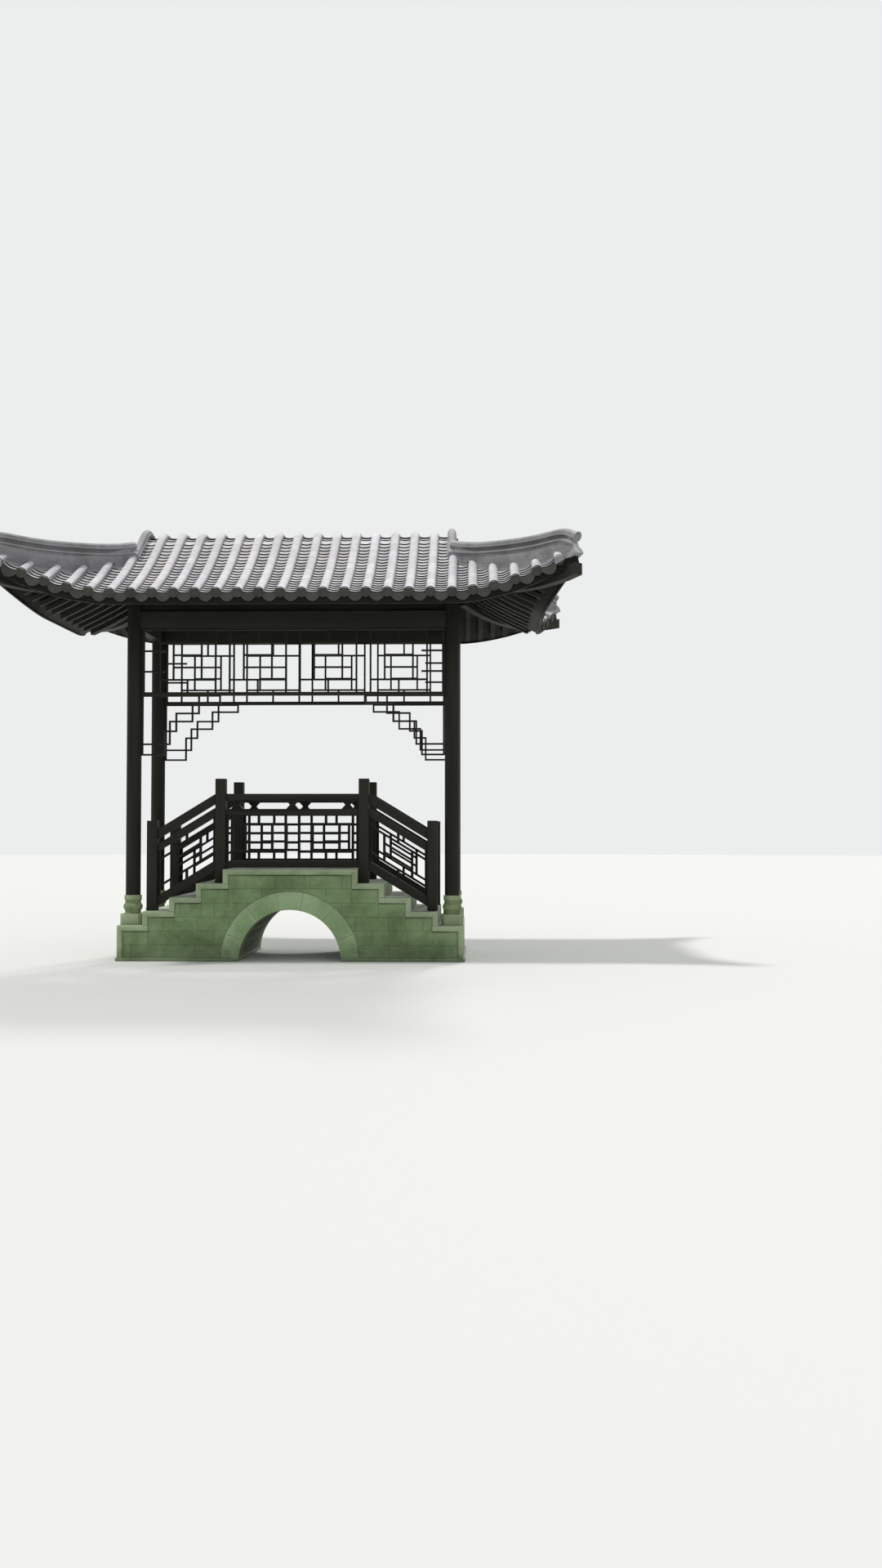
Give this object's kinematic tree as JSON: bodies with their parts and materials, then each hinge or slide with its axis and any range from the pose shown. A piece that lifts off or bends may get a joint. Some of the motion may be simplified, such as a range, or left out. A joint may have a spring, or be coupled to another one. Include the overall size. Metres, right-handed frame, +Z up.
{
  "type": "covered moon bridge",
  "caption": "Small stepped stone arch bridge with fretwork balustrades and a tiled roof on round columns, for crossing a garden pond under cover.",
  "frame": {"origin": "centre of the bridge in plan, on the flat underside of the footings, at water level", "axes": "+X along the walkway, +Y across it away from the viewer, +Z up"},
  "size_m": [6.8948, 4.2948, 5.4387],
  "materials": {
    "stone": "weathered, rough",
    "pale_stone": "weathered, dressed",
    "dark_wood": "dark stain, satin",
    "roof_tile": "unglazed fired clay, matt"
  },
  "bodies": {
    "root": {"left_footing": "stone", "right_footing": "stone", "left_abutment": "stone", "right_abutment": "stone", "arch_barrel": "stone", "front_arch_ring": "pale_stone", "back_arch_ring": "pale_stone", "front_coping": "pale_stone", "back_coping": "pale_stone", "deck_slab": "pale_stone", "left_treads": "pale_stone", "right_treads": "pale_stone", "front_newels": "dark_wood", "back_newels": "dark_wood", "front_deck_balustrade": "dark_wood", "back_deck_balustrade": "dark_wood", "front_left_stair_balustrade": "dark_wood", "front_right_stair_balustrade": "dark_wood", "back_left_stair_balustrade": "dark_wood", "back_right_stair_balustrade": "dark_wood", "left_pedestals": "stone", "right_pedestals": "stone", "front_left_column": "dark_wood", "front_right_column": "dark_wood", "back_left_column": "dark_wood", "back_right_column": "dark_wood", "front_eave_beam": "dark_wood", "back_eave_beam": "dark_wood", "left_eave_beam": "dark_wood", "right_eave_beam": "dark_wood", "front_lattice": "dark_wood", "back_lattice": "dark_wood", "front_brackets": "dark_wood", "back_brackets": "dark_wood", "long_purlins": "dark_wood", "end_purlins": "dark_wood", "ridge_purlins": "dark_wood", "left_truss": "dark_wood", "right_truss": "dark_wood", "main_rafters": "dark_wood", "left_rafters": "dark_wood", "right_rafters": "dark_wood", "corner_beams": "dark_wood", "roof_crown": "roof_tile", "front_roof": "roof_tile", "back_roof": "roof_tile", "left_roof": "roof_tile", "right_roof": "roof_tile", "left_gable": "dark_wood", "right_gable": "dark_wood", "left_gable_ridge": "roof_tile", "right_gable_ridge": "roof_tile", "front_left_hip_ridge": "roof_tile", "front_right_hip_ridge": "roof_tile", "back_left_hip_ridge": "roof_tile", "back_right_hip_ridge": "roof_tile"}
  },
  "joints": []
}
